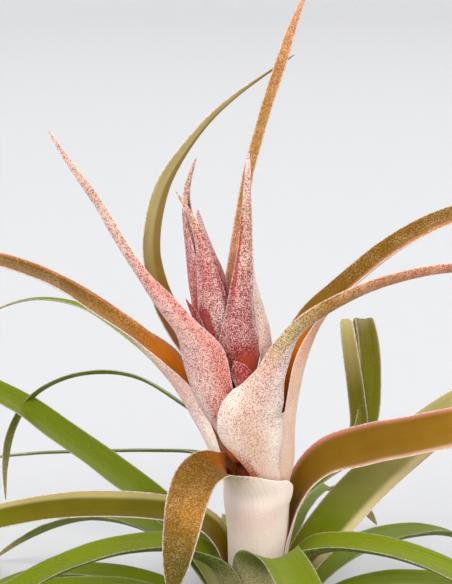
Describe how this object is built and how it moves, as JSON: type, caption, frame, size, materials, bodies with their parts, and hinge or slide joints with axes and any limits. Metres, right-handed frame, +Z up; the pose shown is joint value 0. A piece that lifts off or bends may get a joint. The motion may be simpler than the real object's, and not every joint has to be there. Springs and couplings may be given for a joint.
{
  "type": "air plant",
  "caption": "Flowering air plant with a spiky pink and coral head, sheathed stem and a rosette of long channelled arching leaves, standing by itself on its stub.",
  "frame": {"origin": "centre of the flat foot of the stem stub", "axes": "+Z up along the lower stem, +X to the right in the picture, +Y away from the viewer"},
  "size_m": [0.2387, 0.2315, 0.1796],
  "materials": {
    "stem": "dry fibrous bark",
    "bract_coral": "satin with a dusting of fine pale silver scales",
    "bract_mauve": "satin with a dusting of fine pale silver scales",
    "leaf_salmon": "satin with a dusting of fine pale silver scales",
    "leaf_cream": "satin with a dusting of fine pale silver scales",
    "leaf_orange": "satin with a dusting of fine pale silver scales",
    "leaf_golden": "satin with a dusting of fine pale silver scales",
    "leaf_olive": "satin with a dusting of fine pale silver scales",
    "leaf_green": "satin with a dusting of fine pale silver scales"
  },
  "bodies": {
    "root": {"stem": "stem", "bract_right_spike_front": "bract_mauve", "bract_left_spike_front": "bract_coral", "bract_left_spike_keeled": "bract_coral", "bract_left_spike_right": "bract_coral", "bract_left_spike_back": "bract_coral", "bract_right_spike_outer": "bract_mauve", "bract_right_spike_back": "bract_mauve", "bud_coral": "bract_coral", "bud_dark": "bract_mauve", "leaf_front": "leaf_cream", "leaf_curled": "leaf_golden", "leaf_salmon": "leaf_salmon", "leaf_right": "leaf_olive", "leaf_left": "leaf_golden", "leaf_behind_head": "leaf_orange", "leaf_back_left": "leaf_olive", "leaf_lower_right": "leaf_olive", "leaf_behind_lower_right": "leaf_olive", "leaf_lower_left": "leaf_olive", "leaf_green_left": "leaf_green", "leaf_arching_left": "leaf_green", "leaf_upright_right": "leaf_green", "leaf_upright_behind": "leaf_green", "leaf_level_left": "leaf_green", "leaf_far_left": "leaf_green", "leaf_skirt_1": "leaf_olive", "leaf_skirt_2": "leaf_olive", "leaf_skirt_3": "leaf_olive", "leaf_ring_1": "leaf_green", "leaf_ring_2": "leaf_green", "leaf_ring_3": "leaf_green", "leaf_ring_4": "leaf_green", "leaf_ring_5": "leaf_green", "leaf_ring_6": "leaf_green", "leaf_ring_7": "leaf_green", "leaf_ring_8": "leaf_green", "leaf_ring_9": "leaf_green", "leaf_ring_10": "leaf_green", "leaf_ring_11": "leaf_green", "leaf_ring_12": "leaf_green", "leaf_ring_13": "leaf_green"}
  },
  "joints": []
}
